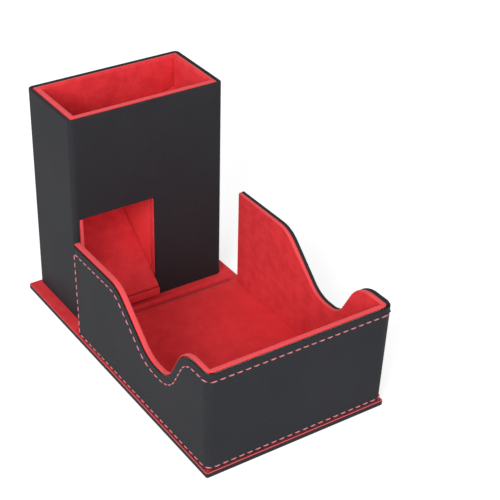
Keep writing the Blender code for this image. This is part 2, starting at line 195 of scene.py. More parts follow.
# Relief of the finishes: strength, depth
LEATHER_RELIEF = (0.13, 0.00010)
PILE_RELIEF = (0.5, 0.00025)

# Roughness of the leatherette between its ribs and on them, and shares of the specks and of the painted shade
LEATHER_GLOSS = (0.66, 0.60)
SPECK_SHARE = 0.28
PAINTED_SHADE_SHARE = 0.9

# Colours
LEATHER_TONES = ((0.0236, 0.0244, 0.0282), (0.0290, 0.0298, 0.0340))
LEATHER_LINES = (0.0192, 0.0198, 0.0232)
PILE_TONES = ((0.630, 0.0265, 0.0340), (0.750, 0.0395, 0.0485))
PILE_SPECKS = (0.400, 0.013, 0.018)
# Painted light, painted highlight on turned edges, a greyer painted highlight on the base's edge, and painted
# shade
PILE_PAINTED_LIGHT = (0.920, 0.041, 0.046)
PILE_PAINTED_HIGHLIGHT = (0.710, 0.075, 0.083)
PILE_GREY_HIGHLIGHT = (0.440, 0.170, 0.200)
PILE_PAINTED_SHADE = (0.140, 0.005, 0.008)
PILE_SHEEN = (1.0, 0.35, 0.36, 1)
BOARD_TONES = ((0.24, 0.215, 0.185), (0.36, 0.33, 0.285))
THREAD_TONES = ((0.42, 0.100, 0.125), (0.66, 0.270, 0.300))
# Painted shade where the thread goes down into the cover
THREAD_SHADE = (0.120, 0.016, 0.024)

# Floor and world: the floor's paint and how it shows white, the light from the world and how that shows white
FLOOR_SIZE = 8
FLOOR_DROP = 0.0001
FLOOR_PAINT = (0.62, 0.62, 0.62, 1)
FLOOR_GLOW = 0.58
SKY_LIGHT = 0.62
SKY_SHOWN = 0.38

# Lamps: name, spot, size, energy
LAMPS = (
    ("side_lamp", (-1.30, -0.85, 0.92), 1.0, 22.0),
    ("front_lamp", (-0.30, -1.60, 0.75), 1.2, 9.0),
)
LAMP_AIM = (0, 0, 0.06)

# Camera
CAMERA_SPOT = (-0.34364, -0.55947, 0.48045)
CAMERA_TURN = math.radians(-34.209)
CAMERA_TILT = math.radians(32.304)
CAMERA_ROLL = math.radians(1.401)
CAMERA_LENS = 99.06
CAMERA_CLIP = (0.05, 30)
SENSOR = 36.0

# Angle past which an edge is a fold, and the smallest length that counts
SMOOTH_ANGLE = math.radians(40.0)
TINY = 0.00001

# How squarely a face looks a way, from fully to not at all
SQUARE = 0.99
LARGELY = 0.9
MOSTLY = 0.5
PARTLY = 0.2
HARDLY = 0.1
PLUMB = 0.01


def deselect():
    bpy.ops.object.select_all(action="DESELECT")


def activate(thing):
    deselect()
    thing.select_set(True)
    bpy.context.view_layer.objects.active = thing


def settle():
    """Take the place, turn and size of what is picked into its mesh."""
    bpy.ops.object.transform_apply(location=True, rotation=True, scale=True)


def new_block(name, low, high):
    """Cube set to its size and place."""
    low, high = Vector(low), Vector(high)
    deselect()
    bpy.ops.mesh.primitive_cube_add(size=1, location=(low + high) / 2)
    thing = bpy.context.object
    thing.name = name
    thing.data.name = name
    thing.scale = high - low
    settle()
    return thing


def new_profile(name, outline, near_x, far_x):
    """Outline in the side view, extruded across."""
    deselect()
    bpy.ops.mesh.primitive_circle_add(vertices=len(outline), fill_type="NGON")
    thing = bpy.context.object
    thing.name = name
    for corner, (along, height) in zip(thing.data.vertices, outline):
        corner.co = (near_x, along, height)
    bpy.ops.object.mode_set(mode="EDIT")
    bpy.ops.mesh.select_all(action="SELECT")
    extrude((far_x - near_x, 0, 0))
    bpy.ops.mesh.select_all(action="SELECT")
    bpy.ops.mesh.normals_make_consistent(inside=False)
    bpy.ops.object.mode_set(mode="OBJECT")
    return thing


def opened(thing, kind):
    """Edit mode with nothing selected, as a shape whose faces, edges or corners are picked."""
    activate(thing)
    bpy.ops.object.mode_set(mode="EDIT")
    bpy.ops.mesh.select_mode(type=kind)
    bpy.ops.mesh.select_all(action="DESELECT")
    shape = bmesh.from_edit_mesh(thing.data)
    shape.normal_update()
    return shape


def closed():
    bpy.ops.object.mode_set(mode="OBJECT")


def pick_faces(thing, test):
    shape = opened(thing, "FACE")
    for face in shape.faces:
        face.select_set(test(face.calc_center_median(), face.normal))
    bmesh.update_edit_mesh(thing.data)


def pick_all(thing):
    opened(thing, "FACE")
    bpy.ops.mesh.select_all(action="SELECT")


def is_outer_fold(edge):
    return edge.is_convex and edge.calc_face_angle(0) > SMOOTH_ANGLE


def pick_edges(thing, test, kind=lambda edge: True):
    """Pick the edges of a kind by their two ends."""
    shape = opened(thing, "EDGE")
    for edge in shape.edges:
        start, end = (corner.co for corner in edge.verts)
        edge.select_set(kind(edge) and test(start, end))
    bmesh.update_edit_mesh(thing.data)


def pick_corners(thing, test):
    shape = opened(thing, "VERT")
    for corner in shape.verts:
        corner.select_set(test(corner.co))
    shape.select_flush_mode()
    bmesh.update_edit_mesh(thing.data)


def inset(width):
    bpy.ops.mesh.inset(thickness=width, use_even_offset=True)


def extrude(way):
    bpy.ops.mesh.extrude_region_move(TRANSFORM_OT_translate={"value": way})


def drop_faces(thing, test):
    pick_faces(thing, test)
    bpy.ops.mesh.delete(type="FACE")
    closed()


def round_folds(thing, test, radius, steps=FOLD_STEPS):
    pick_edges(thing, test, is_outer_fold)
    bpy.ops.mesh.bevel(offset=radius, offset_type="OFFSET", segments=steps, affect="EDGES", profile=0.5)
    closed()


def slice_at(thing, axis, place, test=None, drop_side=0):
    """Cut a line of edges round a piece at a place along an axis, and drop what lies on a side of it if asked."""
    spot, way = Vector(), Vector()
    spot[axis], way[axis] = place, drop_side or 1
    if test:
        pick_faces(thing, test)
    else:
        pick_all(thing)
    bpy.ops.mesh.bisect(plane_co=spot, plane_no=way, clear_outer=drop_side != 0, threshold=TINY / 10)
    closed()


def cut_off(thing, spot, way):
    """Take off what lies past a plane, and close the cut."""
    pick_all(thing)
    bpy.ops.mesh.bisect(plane_co=spot, plane_no=way, use_fill=True, clear_outer=True, threshold=TINY)
    bpy.ops.mesh.select_all(action="SELECT")
    bpy.ops.mesh.remove_doubles(threshold=TINY)
    closed()


def shift_corners(thing, test, way):
    pick_corners(thing, test)
    bpy.ops.transform.translate(value=way)
    closed()


def thicken(thing, thickness):
    """Give a shell its thickness on the inside."""
    activate(thing)
    wall = thing.modifiers.new("wall", "SOLIDIFY")
    wall.thickness = thickness
    wall.offset = -1
    wall.use_even_offset = True
    bpy.ops.object.modifier_apply(modifier=wall.name)


def twin(thing):
    """Copy of a piece with a mesh of its own."""
    copy = thing.copy()
    copy.data = thing.data.copy()
    bpy.context.scene.collection.objects.link(copy)
    return copy


def discard(thing):
    bpy.data.objects.remove(thing, do_unlink=True)


def cut_away(thing, *cutters):
    """Take the cutters out of a piece one by one, and discard them."""
    for cutter in cutters:
        activate(thing)
        step = thing.modifiers.new("cut", "BOOLEAN")
        step.operation = "DIFFERENCE"
        step.solver = "EXACT"
        step.object = cutter
        bpy.ops.object.modifier_apply(modifier=step.name)
        pick_all(thing)
        bpy.ops.mesh.remove_doubles(threshold=TINY)
        closed()
        discard(cutter)


def smooth(thing):
    """Soft shading on the folds and flat shading between them."""
    activate(thing)
    bpy.ops.object.shade_smooth_by_angle(angle=SMOOTH_ANGLE)
    even = thing.modifiers.new("even", "WEIGHTED_NORMAL")
    even.keep_sharp = True
    bpy.ops.object.modifier_apply(modifier=even.name)


def mark(thing, name, share_at):
    """Store a share for each corner of the mesh, which a finish reads by its name."""
    shares = thing.data.attributes.new(name, "FLOAT", "POINT")
    shares.data.foreach_set("value", [share_at(corner.co) for corner in thing.data.vertices])


def paint(thing, finish):
    thing.data.materials.clear()
    thing.data.materials.append(finish)


def dress(thing, finish, slot, *nodes):
    """Give a piece its finish, and hide the solids that it stands for; its slot is not used."""
    paint(thing, finish)
    if nodes:
        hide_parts(*nodes)
    return thing


def ease(share):
    share = min(max(share, 0), 1)
    return share * share * (3 - 2 * share)


def same(value, level):
    return abs(value - level) < TINY


def is_upright(start, end):
    return same(start.x, end.x) and same(start.y, end.y)


def lies_at(axis, *places):
    """Test for the edges that lie at one of some places along an axis."""
    return lambda start, end: any(same(start[axis], place) and same(end[axis], place) for place in places)


# Finishes

def new_finish(name):
    finish = bpy.data.materials.new(name)
    finish.use_nodes = True
    return finish, finish.node_tree


def add_node(tree, kind, **settings):
    node = tree.nodes.new(kind)
    for key, value in settings.items():
        setattr(node, key, value)
    return node


def new_cover(name):
    """Finish with its tree, its shader, and the places on the piece."""
    finish, tree = new_finish(name)
    return finish, tree, tree.nodes["Principled BSDF"], add_node(tree, "ShaderNodeTexCoord").outputs["Object"]


def set_sockets(node, values):
    for name, value in values.items():
        node.inputs[name].default_value = value


def noise(tree, coords, scale, detail, roughness):
    grain = add_node(tree, "ShaderNodeTexNoise")
    set_sockets(grain, {"Scale": scale, "Detail": detail, "Roughness": roughness})
    tree.links.new(coords, grain.inputs["Vector"])
    return grain.outputs["Fac"]


def reckon(tree, operation, first, second=0.0):
    """Math node with sockets or numbers as its inputs."""
    node = add_node(tree, "ShaderNodeMath", operation=operation)
    for socket, value in zip(node.inputs, (first, second)):
        if isinstance(value, bpy.types.NodeSocket):
            tree.links.new(value, socket)
        else:
            socket.default_value = value
    return node.outputs[0]


def blend_colours(tree, share, first, second):
    mix = add_node(tree, "ShaderNodeMix", data_type="RGBA")
    tree.links.new(share, mix.inputs["Factor"])
    for socket, value in ((mix.inputs[6], first), (mix.inputs[7], second)):
        if isinstance(value, bpy.types.NodeSocket):
            tree.links.new(value, socket)
        else:
            socket.default_value = (*value, 1)
    return mix.outputs[2]


def ranged(tree, value, low, high, start=0, end=1):
    span = add_node(tree, "ShaderNodeMapRange", interpolation_type="SMOOTHSTEP")
    tree.links.new(value, span.inputs["Value"])
    set_sockets(span, {"From Min": low, "From Max": high, "To Min": start, "To Max": end})
    return span.outputs["Result"]


def share_of(tree, name):
    """Share that was marked on the mesh under a name."""
    return add_node(tree, "ShaderNodeAttribute", attribute_name=name).outputs["Fac"]


def raise_surface(tree, shader, height, strength, distance):
    bump = add_node(tree, "ShaderNodeBump")
    set_sockets(bump, {"Strength": strength, "Distance": distance})
    tree.links.new(height, bump.inputs["Height"])
    tree.links.new(bump.outputs["Normal"], shader.inputs["Normal"])


def leatherette():
    """Black leatherette with a fine diagonal twill emboss."""
    finish, tree, shader, coords = new_cover("leatherette_black")
    axes = add_node(tree, "ShaderNodeSeparateXYZ")
    tree.links.new(coords, axes.inputs[0])
    across = reckon(tree, "ADD", axes.outputs["X"], axes.outputs["Y"])
    rib_line = reckon(tree, "ADD", across, axes.outputs["Z"])
    step_line = reckon(tree, "SUBTRACT", across, axes.outputs["Z"])
    ribs = reckon(tree, "SINE", reckon(tree, "MULTIPLY", rib_line, RIB_DENSITY))
    steps = reckon(tree, "SINE", reckon(tree, "MULTIPLY", step_line, STEP_DENSITY))
    twill = reckon(tree, "MULTIPLY", ribs, reckon(tree, "MULTIPLY_ADD", steps, STEP_SHARE))
    emboss = reckon(tree, "ADD", ribs, twill)
    pores = noise(tree, coords, *LEATHER_PORES)
    raise_surface(tree, shader, reckon(tree, "ADD", emboss, pores), *LEATHER_RELIEF)
    clouds = noise(tree, coords, *LEATHER_CLOUDS)
    tone = blend_colours(tree, ranged(tree, clouds, *LEATHER_SPAN), *LEATHER_TONES)
    lines = ranged(tree, emboss, -EMBOSS_SPAN, EMBOSS_SPAN)
    tree.links.new(blend_colours(tree, lines, LEATHER_LINES, tone), shader.inputs["Base Color"])
    gloss = ranged(tree, emboss, -EMBOSS_SPAN, EMBOSS_SPAN, *LEATHER_GLOSS)
    tree.links.new(gloss, shader.inputs["Roughness"])
    set_sockets(shader, {"Specular IOR Level": 0.10})
    return finish


def velvet():
    """Short red pile with soft clouds where it is brushed.

    It has painted light where the pile is drawn brighter, a painted highlight where it turns over an edge, a
    greyer painted highlight at the edge of the base, and painted shade in creases and under edges.
    """
    finish, tree, shader, coords = new_cover("velvet_red")
    brushed = noise(tree, coords, *PILE_CLOUDS)
    pile = noise(tree, coords, *PILE_GRAIN)
    painted_highlight_and_shade = share_of(tree, "painted_highlight_and_shade")
    tone = blend_colours(tree, ranged(tree, brushed, *PILE_SPAN), *PILE_TONES)
    tone = blend_colours(tree, ranged(tree, pile, *SPECK_SPAN, SPECK_SHARE, 0), tone, PILE_SPECKS)
    # Painted light where the pile is drawn brighter, painted highlight on turned edges, greyer at the base's edge,
    # and painted shade
    tone = blend_colours(tree, share_of(tree, "painted_light"), tone, PILE_PAINTED_LIGHT)
    tone = blend_colours(tree, ranged(tree, painted_highlight_and_shade, 0, 1), tone, PILE_PAINTED_HIGHLIGHT)
    tone = blend_colours(tree, ranged(tree, painted_highlight_and_shade, 1, 2), tone, PILE_GREY_HIGHLIGHT)
    tone = blend_colours(tree, ranged(tree, painted_highlight_and_shade, -1, 0, PAINTED_SHADE_SHARE, 0), tone, PILE_PAINTED_SHADE)
    tree.links.new(tone, shader.inputs["Base Color"])
    raise_surface(tree, shader, pile, *PILE_RELIEF)
    set_sockets(shader, {
        "Roughness": 0.95, "Specular IOR Level": 0.15,
        "Sheen Weight": 0.35, "Sheen Roughness": 0.4, "Sheen Tint": PILE_SHEEN,
    })
    return finish


def greyboard():
    """Plain pressed board with grey flecks."""
    finish, tree, shader, coords = new_cover("greyboard")
    flecks = ranged(tree, noise(tree, coords, *BOARD_GRAIN), *FLECK_SPAN)
    tree.links.new(blend_colours(tree, flecks, *BOARD_TONES), shader.inputs["Base Color"])
    set_sockets(shader, {"Roughness": 0.9})
    return finish


def thread():
    """Twisted polyester thread in a pinkish red, with painted shade where it goes down into the cover."""
    finish, tree, shader, coords = new_cover("thread_red")
    plies = ranged(tree, noise(tree, coords, *THREAD_GRAIN), *FLECK_SPAN)
    tone = blend_colours(tree, plies, *THREAD_TONES)
    tree.links.new(blend_colours(tree, share_of(tree, "thread_shade"), tone, THREAD_SHADE), shader.inputs["Base Color"])
    set_sockets(shader, {"Roughness": 0.55})
    return finish


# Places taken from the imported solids

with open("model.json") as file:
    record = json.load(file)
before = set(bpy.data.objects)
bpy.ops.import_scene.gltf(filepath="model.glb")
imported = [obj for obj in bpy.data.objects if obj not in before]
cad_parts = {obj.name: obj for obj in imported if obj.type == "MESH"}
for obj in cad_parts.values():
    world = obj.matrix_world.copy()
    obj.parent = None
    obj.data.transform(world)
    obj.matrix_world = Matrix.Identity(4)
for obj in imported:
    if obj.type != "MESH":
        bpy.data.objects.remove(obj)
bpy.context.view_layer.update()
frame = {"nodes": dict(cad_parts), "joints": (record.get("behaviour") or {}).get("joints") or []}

BASE_LOW, BASE_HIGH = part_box("base_skin")
TRAY_LOW, TRAY_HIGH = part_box("tray_base_skin")
PILE_LOW, PILE_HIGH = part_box("base_lining")
TOWER_LOW, TOWER_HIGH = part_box("tower_skin")
WALL_LOW, WALL_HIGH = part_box("tray_wall_skin")
LEFT_LOW, LEFT_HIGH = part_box("wall_lining_left")
FRONT_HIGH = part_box("wall_lining_front")[1]
HINGE = Vector(frame["joints"][0]["pos_m"])

RIM_Z = LEFT_HIGH.z
FOOT_Z = LEFT_LOW.z
WINDOW_TOP_Z = FOOT_Z + WINDOW_HEIGHT
WINDOW_LEFT_X = TOWER_LOW.x + WINDOW_INSET
WINDOW_RIGHT_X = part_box("divider")[0].x

LEATHER = leatherette()
VELVET = velvet()
GREYBOARD = greyboard()
THREAD = thread()


# Base and its soft hinge

def hinge_rows():
    return [HINGE.y + step * HINGE_ROW for step in range(-HINGE_ROWS, HINGE_ROWS + 1)]


def hollow_share(along):
    """How much of its depth the groove has at a distance along the base: all in the middle, none outside."""
    away = abs(along - HINGE.y)
    return 1 - ease((away - GROOVE_FLAT) / (GROOVE_REACH - GROOVE_FLAT))


def slice_hinge(thing):
    """Rows of edges across the piece at the hinge."""
    for along in hinge_rows():
        slice_at(thing, Y, along)


def sink_groove(thing, half_width):
    """Press the rows of corners near the hinge down, less and less towards the sides."""
    def is_near(middle, normal):
        return abs(middle.y - HINGE.y) < GROOVE_REACH and abs(normal.x) < MOSTLY

    bands, near = [], 0
    for inset, share in GROOVE_FADE:
        for side in (-1, 1):
            slice_at(thing, X, side * (half_width - inset), is_near)
        far = half_width - inset + TINY
        bands.append((near, far, share))
        near = far
    for along in hinge_rows():
        for near, far, share in bands:
            drop = GROOVE_DEPTH * hollow_share(along) * share
            if drop > TINY:
                shift_corners(thing, lambda spot: same(spot.y, along) and near <= abs(spot.x) < far, (0, 0, -drop))


def crease_of(thing):
    """Take the piece's place and turn into its mesh."""
    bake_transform(thing)


def base_cover():
    """One leatherette sheet under both halves, turned up round their boards."""
    low = Vector((BASE_LOW.x, TRAY_LOW.y, BASE_LOW.z))
    cover = new_block("base_cover", low, (BASE_HIGH.x, BASE_HIGH.y, COVER_RIM_Z))
    drop_faces(cover, lambda middle, normal: normal.z > MOSTLY)
    round_folds(cover, is_upright, BASE_CORNER_R, EDGE_STEPS)
    round_folds(cover, lies_at(Z, low.z), BASE_FOOT_R, EDGE_STEPS)
    slice_hinge(cover)
    thicken(cover, LEATHER_T)
    smooth(cover)
    dress(cover, LEATHER, "leatherette", "base_skin", "hinge_skin", "tray_base_skin")
    crease_of(cover)


def base_velvet():
    """One sheet of velvet over both halves, turned down round their edges and pressed down between them."""
    half_x, rear_y = BASE_HIGH.x - SLIP, BASE_HIGH.y - SLIP
    pile = new_block("base_velvet", (-half_x, -rear_y, VELVET_RIM_Z), (half_x, rear_y, PILE_HIGH.z))
    round_folds(pile, is_upright, BASE_CORNER_R, EDGE_STEPS)
    pick_faces(pile, lambda middle, normal: normal.z < -SQUARE)
    inset(VELVET_TURN)
    extrude((0, 0, PILE_LOW.z - VELVET_RIM_Z))
    closed()
    round_folds(pile, lies_at(Z, PILE_HIGH.z), VELVET_EDGE_R, FINE_STEPS)
    pick_faces(pile, lambda middle, normal: normal.z > SQUARE)
    inset(VELVET_HEM)
    inset(VELVET_HEM)
    closed()
    slice_hinge(pile)
    sink_groove(pile, half_x)
    smooth(pile)

    # Painted shade on the ledge beside the tray walls, in the groove and down the turned side; painted highlight
    # on the turned edge
    def share_at(spot):
        inward = min(half_x - abs(spot.x), rear_y - abs(spot.y))
        at_tray = spot.y < WALL_HIGH.y
        if inward > VELVET_EDGE_R - TINY:
            at_edge = at_tray and inward < VELVET_EDGE_R + VELVET_HEM + TINY
            return -1 if at_edge else -GROOVE_SHADE * (PILE_HIGH.z - spot.z) / GROOVE_DEPTH
        if spot.z > PILE_HIGH.z - VELVET_EDGE_R + TINY:
            return TRAY_EDGE_HIGHLIGHT if at_tray else REAR_EDGE_HIGHLIGHT
        return -1

    mark(pile, "painted_highlight_and_shade", share_at)
    # Painted light on the base's pile, from none at its left to the most at its right
    mark(pile, "painted_light", lambda spot: FLOOR_PAINTED_LIGHT * (spot.x + half_x) / (2 * half_x))
    dress(pile, VELVET, "velvet", "base_lining", "hinge_lining", "tray_floor_lining")
    crease_of(pile)


# Tower

def tower_wrap():
    """Leatherette round the four sides, turned in at the mouth and round the window."""
    wrap = new_block("tower_wrap", TOWER_LOW, TOWER_HIGH)
    round_folds(wrap, is_upright, TOWER_CORNER_R, CORNER_STEPS)
    drop_faces(wrap, lambda middle, normal: normal.z < -MOSTLY)
    pick_faces(wrap, lambda middle, normal: normal.z > MOSTLY)
    inset(MOUTH_TURN)
    extrude((0, 0, -MOUTH_DEPTH))
    bpy.ops.mesh.delete(type="FACE")
    closed()

    def is_front(middle, normal):
        return normal.y < -SQUARE

    for place in (WINDOW_LEFT_X, WINDOW_RIGHT_X):
        slice_at(wrap, X, place, is_front)
    slice_at(wrap, Z, WINDOW_TOP_Z, is_front)

    def is_window(middle, normal):
        inside = WINDOW_LEFT_X < middle.x < WINDOW_RIGHT_X and middle.z < WINDOW_TOP_Z
        return is_front(middle, normal) and inside

    drop_faces(wrap, is_window)

    at_front = lies_at(Y, TOWER_LOW.y)
    on_jamb = lies_at(X, WINDOW_LEFT_X, WINDOW_RIGHT_X)
    on_lintel = lies_at(Z, WINDOW_TOP_Z)

    def is_window_edge(start, end):
        middle = (start + end) / 2
        within = WINDOW_LEFT_X - TINY < middle.x < WINDOW_RIGHT_X + TINY and middle.z < WINDOW_TOP_Z + TINY
        return within and at_front(start, end) and (on_jamb(start, end) or on_lintel(start, end))

    pick_edges(wrap, is_window_edge)
    bpy.ops.mesh.extrude_edges_move(TRANSFORM_OT_translate={"value": (0, WINDOW_TURN, 0)})
    closed()
    round_folds(wrap, is_window_edge, WINDOW_TURN_R, FINE_STEPS)
    round_folds(wrap, lies_at(Z, TOWER_HIGH.z), TURN_R, EDGE_STEPS)
    thicken(wrap, LEATHER_T)
    smooth(wrap)
    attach(dress(wrap, LEATHER, "leatherette", "tower_skin"), "base")


def fold_near(level, reach):
    """Share of painted highlight that is full at a height and nothing a reach below it."""
    return lambda spot: ease(1 - (level - spot.z) / reach)


def highlight_over_shade(drop, reach):
    """Painted highlight on a crown's outer edge, turning into painted shade where it dips beside the leather, at a
    drop from the crown.
    """
    return 1 - 2 * ease(drop / reach)


def finish_lining(lining, node, body, share_at):
    """Give a velvet cover its smooth shading, its painted highlight and shade, and its place in the model."""
    smooth(lining)
    mark(lining, "painted_highlight_and_shade", share_at)
    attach(dress(lining, VELVET, "velvet", node), body)


def divider():
    """Upright panel beside the window with rounded folds, open at its foot and square where it meets the front."""
    low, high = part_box("divider")
    panel = new_block("divider_velvet", low, high)
    at_foot, at_front = lies_at(Z, low.z), lies_at(Y, low.y)
    round_folds(panel, lambda start, end: not (at_foot(start, end) or at_front(start, end)), LINER_FOLD_R)
    drop_faces(panel, lambda middle, normal: normal.z < -SQUARE)
    thicken(panel, VELVET_T)
    # Painted highlight on the top fold, and painted light over the whole panel
    finish_lining(panel, "divider", "base", fold_near(high.z, LINER_FOLD_R))
    mark(panel, "painted_light", lambda spot: DIVIDER_PAINTED_LIGHT)


def part_of(whole, name, cuts):
    """Copy of the part of a frame that is left by the cuts, each a spot and the way that is cut off."""
    part = twin(whole)
    part.name = name
    part.data.name = name
    for spot, way in cuts:
        cut_off(part, spot, way)
    return part


def shaft_lining():
    """Velvet of the inner box: one frame with rounded folds, parted on the mitres of its four panels."""
    left_low, left_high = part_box("liner_left")
    right_low, right_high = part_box("liner_right")
    front_low, front_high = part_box("liner_front")
    back_low, back_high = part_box("liner_back")
    lintel_z = WINDOW_TOP_Z - JAMB_GAP
    jamb_x = WINDOW_LEFT_X + JAMB_GAP
    lining = new_block("shaft_lining", left_low, right_high)
    room = new_block(
        "shaft_room",
        (left_high.x, front_high.y, left_low.z - OVERRUN), (right_low.x, back_low.y, left_high.z + OVERRUN),
    )
    window = new_block(
        "window_room",
        (left_high.x, front_low.y - OVERRUN, left_low.z - OVERRUN),
        (WINDOW_RIGHT_X, front_high.y + OVERRUN, WINDOW_TOP_Z),
    )
    cut_away(lining, room, window)

    def is_front(middle, normal):
        return normal.y < -SQUARE and same(middle.y, front_low.y)

    def is_jamb(middle, normal):
        return is_front(middle, normal) and jamb_x < middle.x < left_high.x and middle.z < lintel_z

    slice_at(lining, Z, lintel_z, is_front)
    slice_at(lining, X, jamb_x, is_front)
    pick_faces(lining, is_jamb)
    extrude((0, -JAMB_SWELL, 0))
    closed()

    def is_window(start, end):
        across = jamb_x - TINY < min(start.x, end.x) < WINDOW_RIGHT_X + TINY
        forward = max(start.y, end.y) < front_high.y + TINY
        above_foot = max(start.z, end.z) > left_low.z + TINY
        return across and forward and above_foot and max(start.z, end.z) < WINDOW_TOP_Z + TINY

    round_folds(lining, lies_at(Z, left_high.z), LINER_FOLD_R)
    round_folds(lining, is_window, WINDOW_FOLD_R, EDGE_STEPS)
    drop_faces(lining, lambda middle, normal: normal.z < -SQUARE and same(middle.z, left_low.z))

    def is_left_front(middle, normal):
        return middle.x < 0 and middle.y < front_high.y

    for level, push in JAMB_LEVELS:
        slice_at(lining, Z, level, is_left_front)

        def is_swollen(spot):
            return same(spot.z, level) and spot.y < front_low.y and spot.x > jamb_x + WINDOW_FOLD_R

        if push:
            shift_corners(lining, is_swollen, (push, 0, 0))

    def is_lining_wall(middle, normal):
        inner_x = abs(middle.x) < right_low.x + TINY
        return inner_x and front_high.y - TINY < middle.y < back_low.y + TINY and abs(normal.z) < HARDLY

    for place in (left_high.x + SHAFT_CREASE, right_low.x - SHAFT_CREASE):
        slice_at(lining, X, place, is_lining_wall)
    for place in (front_high.y + SHAFT_CREASE, back_low.y - SHAFT_CREASE):
        slice_at(lining, Y, place, is_lining_wall)
    thicken(lining, VELVET_T)

    # Painted shade down the inner corners and along the crown's outer edge; painted highlight on the crown and the
    # window's turned edges
    def share_at(spot):
        at_side = same(spot.x, left_high.x) or same(spot.x, right_low.x)
        if at_side and (same(spot.y, front_high.y) or same(spot.y, back_low.y)):
            return -ease((left_high.z - spot.z) / (2 * LINER_FOLD_R))
        share = fold_near(left_high.z, LINER_FOLD_R)(spot)
        near = min(spot.x - left_low.x, spot.y - front_low.y)
        far = min(right_high.x - spot.x, back_high.y - spot.y)
        full, none = CROWN_NEAR if near < far else CROWN_FAR
        share *= 1 - ease((min(near, far) - full) / (none - full))
        if near < LINER_FOLD_R / 2:
            share = highlight_over_shade(left_high.z - spot.z, LINER_FOLD_R)
        if spot.z < WINDOW_TOP_Z and spot.x < left_high.x + TINY:
            share = max(share, ease((front_low.y + VELVET_EDGE_R - spot.y) / (2 * VELVET_EDGE_R)))
        if spot.z < WINDOW_TOP_Z and abs(spot.x - WINDOW_RIGHT_X) < WINDOW_FOLD_R + TINY:
            share = max(share, ease(1 - (spot.y - front_low.y) / WINDOW_FOLD_R))
        return share

    middle_y = (front_high.y + back_low.y) / 2
    corners = {}
    for end, along, way_y in (("front", front_high.y, -1), ("back", back_low.y, 1)):
        for side, across, way_x in (("left", left_high.x, -1), ("right", right_low.x, 1)):
            corners[end, side] = (Vector((across, along, 0)), Vector((way_x, MITRE_SLOPE * way_y, 0)))

    def mitre(end, side, of_side):
        """Cut at a corner that leaves its side panel, or its front or back panel."""
        spot, out = corners[end, side]
        way = Vector((-out.x, out.y, 0)) if of_side else Vector((out.x, -out.y, 0))
        return spot, way

    for side in ("left", "right"):
        cuts = [mitre(end, side, True) for end in ("front", "back")]
        panel = part_of(lining, "liner_" + side + "_velvet", cuts)
        finish_lining(panel, "liner_" + side, "base", share_at)
    for end in ("front", "back"):
        cuts = [(Vector((0, middle_y, 0)), Vector((0, 1 if end == "front" else -1, 0)))]
        cuts += [mitre(end, side, False) for side in ("left", "right")]
        panel = part_of(lining, "liner_" + end + "_velvet", cuts)
        finish_lining(panel, "liner_" + end, "base", share_at)
    discard(lining)


def slope_height(node, axis, near_value):
    """Upright thickness of a sloping panel, read where it ends."""
    mesh = frame["nodes"][node].data
    levels = [corner.co.z for corner in mesh.vertices if abs(corner.co[axis] - near_value) < 10 * TINY]
    return max(levels) - min(levels)


def exit_ramp():
    """Ramp with a pressed line across its end and a swollen nose below it."""
    low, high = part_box("exit_ramp")
    upright = slope_height("exit_ramp", Y, low.y)
    lip = Vector((low.y, low.z + upright))
    bends = [(Vector((high.y, high.z - upright)), SLOPE_FOLD_R), (Vector((high.y, high.z)), SLOPE_FOLD_R)]
    bends += [(lip + Vector((along, up)), radius) for along, up, radius in NOSE_OUTLINE]
    spots = [spot for spot, radius in bends]
    outline = []
    for before, (spot, radius), after in zip([spots[-1]] + spots, bends, spots[1:] + [spots[0]]):
        outline += fillet(before, spot, after, radius)
    panel = new_profile("exit_ramp_velvet", outline, low.x, high.x)
    round_folds(panel, lies_at(X, low.x, high.x), NOSE_END_R, FINE_STEPS)
    thicken(panel, VELVET_T)
    crease = lip + Vector(NOSE_OUTLINE[1][:2])

    # Painted shade round the pressed line; painted highlight on the nose's right end
    def share_at(spot):
        here = Vector((spot.y, spot.z))
        away = (here - crease).length
        if away < NOSE_CREASE:
            return -ease(1 - away / NOSE_CREASE)
        at_end = ease(1 - (high.x - spot.x) / (2 * NOSE_END_R))
        return NOSE_END_HIGHLIGHT * at_end if spot.y < lip.x + 2 * LINER_FOLD_R else 0

    finish_lining(panel, "exit_ramp", "base", share_at)


def upper_baffle():
    """Sloping panel that throws the dice to the left."""
    low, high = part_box("upper_baffle")
    upright = slope_height("upper_baffle", X, low.x)
    panel = new_block("upper_baffle_velvet", low, (high.x, high.y, low.z + upright))
    shift_corners(panel, lambda spot: same(spot.x, high.x), (0, 0, high.z - low.z - upright))
    round_folds(panel, lambda start, end: True, SLOPE_FOLD_R)
    thicken(panel, VELVET_T)
    finish_lining(panel, "upper_baffle", "base", lambda spot: 0)


# Tray walls

def fillet(before, corner, after, radius):
    """Points of the arc that rounds one corner of a path."""
    back = (before - corner).normalized()
    ahead = (after - corner).normalized()
    half = back.angle(ahead) / 2
    centre = corner + (back + ahead).normalized() * radius / math.sin(half)
    start = corner + back * radius / math.tan(half) - centre
    turn = math.pi - 2 * half
    if back.cross(ahead) > 0:
        turn = -turn
    steps = math.ceil(abs(turn) / ARC_STEP)
    return [centre + Matrix.Rotation(turn * step / steps, 2) @ start for step in range(steps + 1)]


